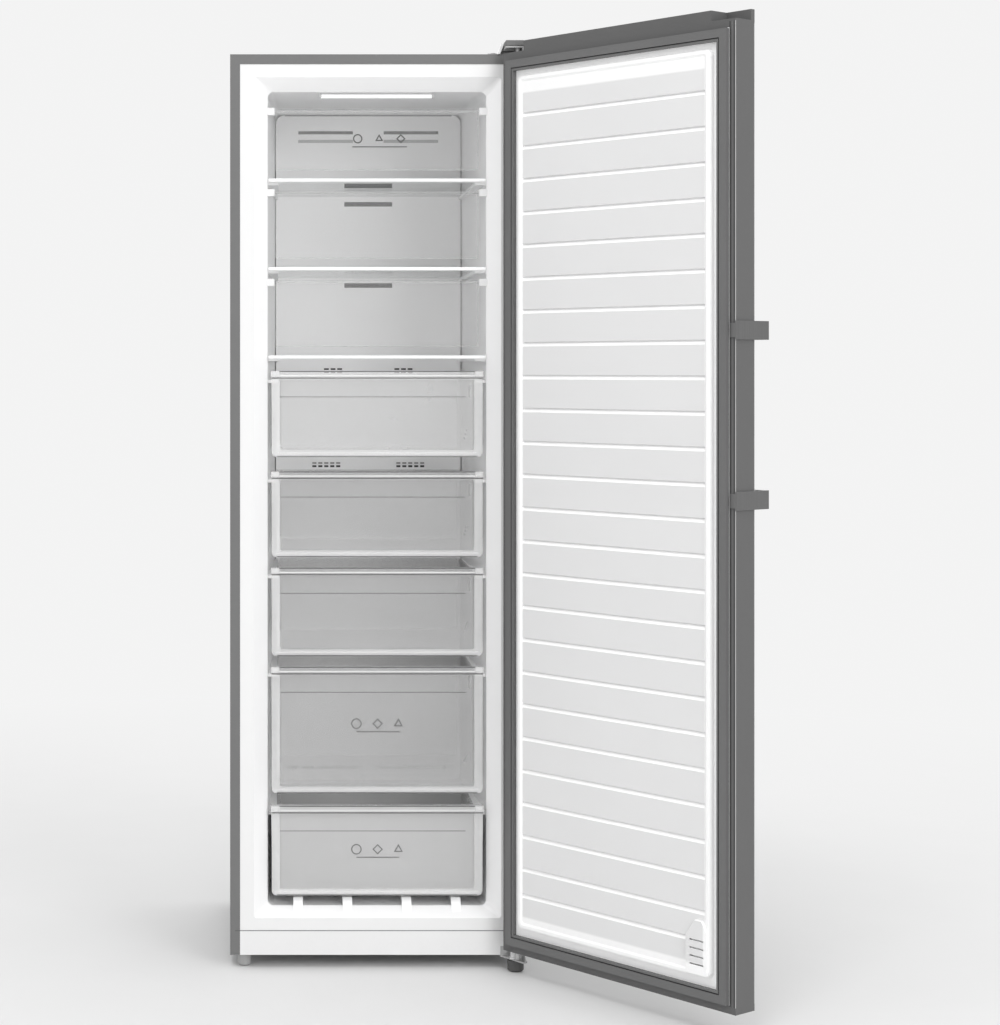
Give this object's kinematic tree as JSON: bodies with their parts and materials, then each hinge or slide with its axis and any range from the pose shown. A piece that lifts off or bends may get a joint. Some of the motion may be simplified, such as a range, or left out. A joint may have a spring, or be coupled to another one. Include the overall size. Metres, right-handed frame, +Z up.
{
  "type": "upright freezer",
  "caption": "Upright freezer with its right-hung door standing open, flap-fronted glass shelves above clear pull-out drawers, on front feet and rear rollers.",
  "frame": {"origin": "on the floor, under the middle of the cabinet's footprint (width and depth of the cabinet body)", "axes": "+X to the right seen from the front, +Y from the front to the back, +Z up"},
  "size_m": [0.9897, 1.1006, 1.8615],
  "materials": {
    "silver_paint": "satin grey paint on steel",
    "white_paint": "satin white paint on steel",
    "white_plastic": "smooth moulded white plastic",
    "white_trim": "gloss white edge trim",
    "grey_plastic": "fine-grained grey plastic",
    "gasket_grey": "soft grey seal",
    "clear_plastic": "clear moulded plastic",
    "shelf_glass": "clear toughened glass",
    "lamp_lens": "frosted plastic",
    "insulation": "rigid foam",
    "bare_steel": "zinc-plated steel",
    "dark_steel": "black enamel",
    "copper": "bare copper",
    "cool_aluminium": "mill-finish aluminium",
    "heater_sheath": "bright sheath",
    "black_plastic": "fine-grained black plastic",
    "dark_grey_plastic": "fine-grained dark grey plastic",
    "soft_black": "matt rubber",
    "magnet": "bonded magnet",
    "diode_board": "white circuit board",
    "handle_metal": "satin metal"
  },
  "bodies": {
    "cabinet": {"outer_shell": "silver_paint", "inner_liner": "white_plastic", "cabinet_foam": "insulation", "back_panel": "silver_paint", "base_panel": "bare_steel", "plinth_beam": "white_paint", "air_cover": "white_plastic", "evaporator_coil": "cool_aluminium", "coil_supports": "cool_aluminium", "defrost_heater": "heater_sheath", "fan_shroud": "white_plastic", "fan_motor": "dark_steel", "drain_tube": "dark_grey_plastic", "drain_pan": "dark_grey_plastic", "compressor": "dark_steel", "compressor_mounts": "soft_black", "compressor_bolts": "bare_steel", "compressor_rail": "bare_steel", "refrigerant_pipes": "copper", "filter_dryer": "copper", "side_condenser": "cool_aluminium", "control_box": "dark_grey_plastic", "mains_pins": "copper", "lamp_housing": "white_plastic", "lamp_lens": "lamp_lens", "lamp_board": "diode_board", "door_sensor": "black_plastic", "top_hinge_bracket": "bare_steel", "bottom_hinge_bracket": "bare_steel", "hinge_pins": "bare_steel", "hinge_screws": "bare_steel", "roller_forks": "bare_steel", "roller_axles": "bare_steel", "shelf_glasses": "shelf_glass", "shelf_trims": "white_trim"},
    "door": {"door_skin": "silver_paint", "door_liner": "white_plastic", "door_foam": "insulation", "door_top_cap": "grey_plastic", "door_bottom_cap": "grey_plastic", "door_gasket": "gasket_grey", "gasket_magnets": "magnet", "hinge_bushes": "grey_plastic", "handle_bar": "handle_metal", "handle_brackets": "handle_metal", "handle_screws": "bare_steel"},
    "vent_flap": {"vent_flap": "white_plastic"},
    "flap_1": {"flap_1": "clear_plastic"},
    "flap_2": {"flap_2": "clear_plastic"},
    "flap_3": {"flap_3": "clear_plastic"},
    "drawer_1": {"drawer_1": "clear_plastic"},
    "drawer_2": {"drawer_2": "clear_plastic"},
    "drawer_3": {"drawer_3": "clear_plastic"},
    "drawer_4": {"drawer_4": "clear_plastic"},
    "drawer_5": {"drawer_5": "clear_plastic"},
    "fan": {"fan_rotor": "black_plastic"},
    "left_foot": {"left_foot": "dark_grey_plastic"},
    "right_foot": {"right_foot": "dark_grey_plastic"},
    "left_roller": {"left_roller": "black_plastic"},
    "right_roller": {"right_roller": "black_plastic"}
  },
  "joints": [
    {"name": "door_hinge", "type": "hinge", "parent": "cabinet", "child": "door", "pos_m": [0.28, -0.33, 0.95], "axis": [0, 0, 1], "range_deg": [-128.5, 6.5]},
    {"name": "vent_flap_hinge", "type": "hinge", "parent": "door", "child": "vent_flap", "pos_m": [0.56442, -0.73977, 0.17], "axis": [0.6225, -0.7826, 0], "range_deg": [0, 6]},
    {"name": "flap_1_hinge", "type": "hinge", "parent": "cabinet", "child": "flap_1", "pos_m": [0, -0.262, 1.733], "axis": [-1, 0, 0], "range_deg": [0, 85]},
    {"name": "flap_2_hinge", "type": "hinge", "parent": "cabinet", "child": "flap_2", "pos_m": [0, -0.262, 1.568], "axis": [-1, 0, 0], "range_deg": [0, 85]},
    {"name": "flap_3_hinge", "type": "hinge", "parent": "cabinet", "child": "flap_3", "pos_m": [0, -0.262, 1.386], "axis": [-1, 0, 0], "range_deg": [0, 85]},
    {"name": "drawer_1_slide", "type": "slide", "parent": "cabinet", "child": "drawer_1", "axis": [0, -1, 0], "range_m": [0, 0.3]},
    {"name": "drawer_2_slide", "type": "slide", "parent": "cabinet", "child": "drawer_2", "axis": [0, -1, 0], "range_m": [0, 0.3]},
    {"name": "drawer_3_slide", "type": "slide", "parent": "cabinet", "child": "drawer_3", "axis": [0, -1, 0], "range_m": [0, 0.3]},
    {"name": "drawer_4_slide", "type": "slide", "parent": "cabinet", "child": "drawer_4", "axis": [0, -1, 0], "range_m": [0, 0.3]},
    {"name": "drawer_5_slide", "type": "slide", "parent": "cabinet", "child": "drawer_5", "axis": [0, -1, 0], "range_m": [0, 0.22]},
    {"name": "fan_spin", "type": "hinge", "parent": "cabinet", "child": "fan", "pos_m": [0, 0.184, 0.77], "axis": [0, 1, 0], "continuous": true},
    {"name": "left_foot_turn", "type": "hinge", "parent": "cabinet", "child": "left_foot", "pos_m": [-0.2695, -0.261, 0.02], "axis": [0, 0, 1], "continuous": true},
    {"name": "right_foot_turn", "type": "hinge", "parent": "cabinet", "child": "right_foot", "pos_m": [0.277, -0.309, 0.02], "axis": [0, 0, 1], "continuous": true},
    {"name": "left_roller_roll", "type": "hinge", "parent": "cabinet", "child": "left_roller", "pos_m": [-0.2625, 0.264, 0.017], "axis": [1, 0, 0], "continuous": true},
    {"name": "right_roller_roll", "type": "hinge", "parent": "cabinet", "child": "right_roller", "pos_m": [0.2625, 0.264, 0.017], "axis": [1, 0, 0], "continuous": true}
  ]
}
